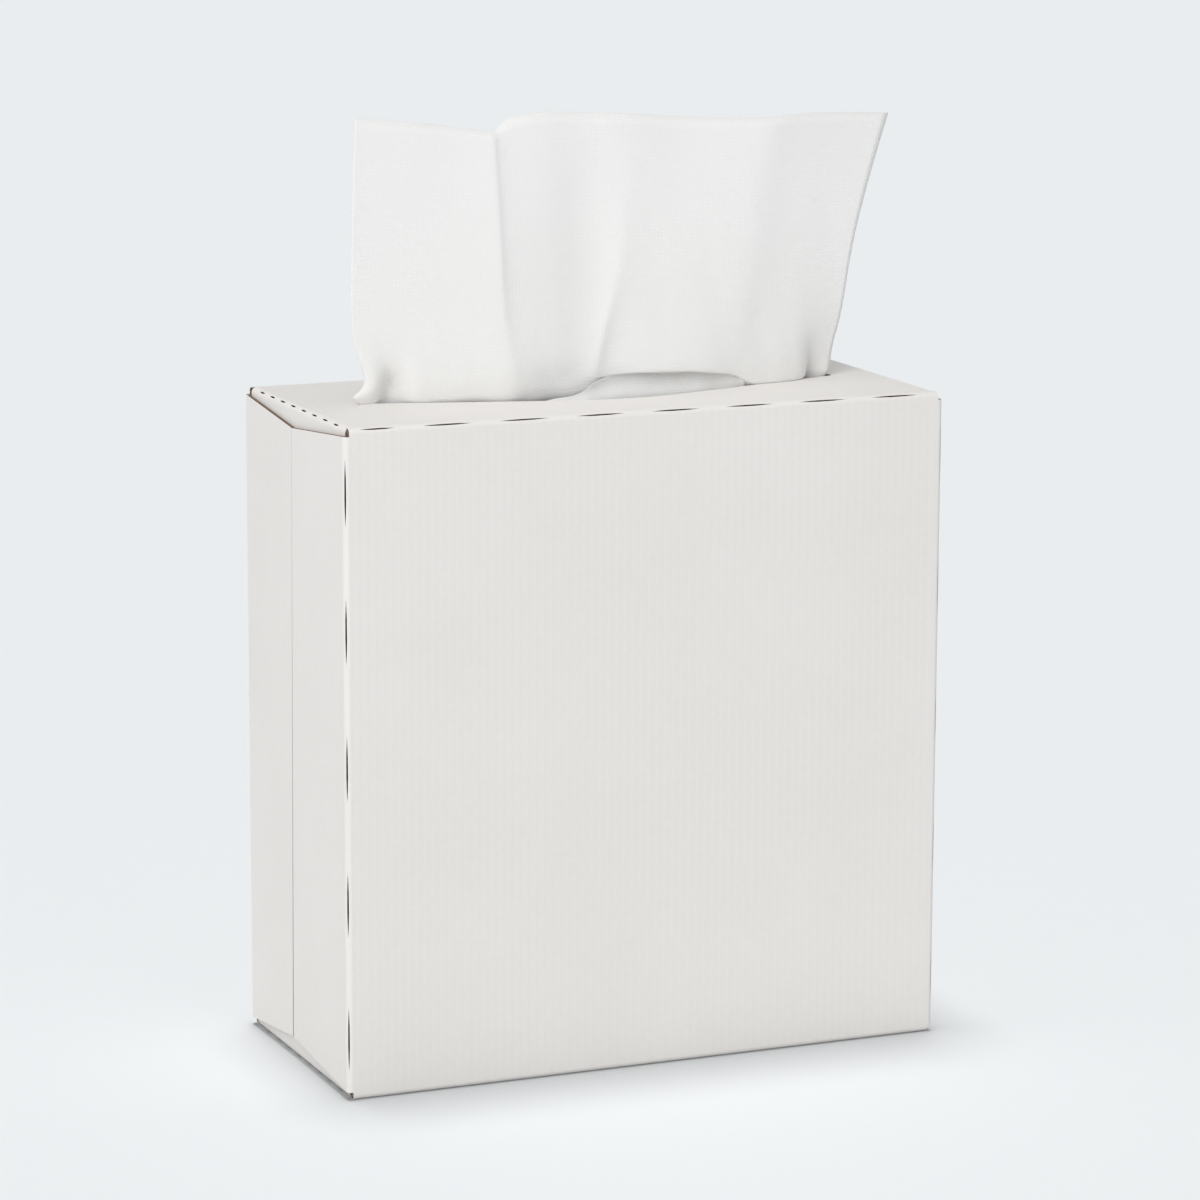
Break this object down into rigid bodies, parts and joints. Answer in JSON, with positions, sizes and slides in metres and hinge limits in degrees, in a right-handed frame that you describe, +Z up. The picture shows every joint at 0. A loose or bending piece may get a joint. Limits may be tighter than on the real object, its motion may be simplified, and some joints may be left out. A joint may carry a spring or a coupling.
{
  "type": "tissue box",
  "caption": "Corrugated carton lying on its long edge, with glued end flaps, perforated creases and a torn-out slot from which a creased pop-up wipe stands.",
  "frame": {"origin": "middle of the bottom panel, on the surface it stands on", "axes": "+X along the carton to its right end, +Y from the front panel to the back panel, +Z up to the dispensing slot"},
  "size_m": [0.244, 0.11, 0.353],
  "materials": {
    "board": "matt white liner outside, brown kraft at the cut edges and inside",
    "wipe": "soft white creped paper wipe, matt",
    "glue": "translucent amber hot melt"
  },
  "bodies": {
    "root": {"carton": "board", "wipe_stack": "wipe", "raised_wipe": "wipe", "next_wipe": "wipe", "joint_glue": "glue", "left_flap_glue": "glue", "right_flap_glue": "glue"}
  },
  "joints": []
}
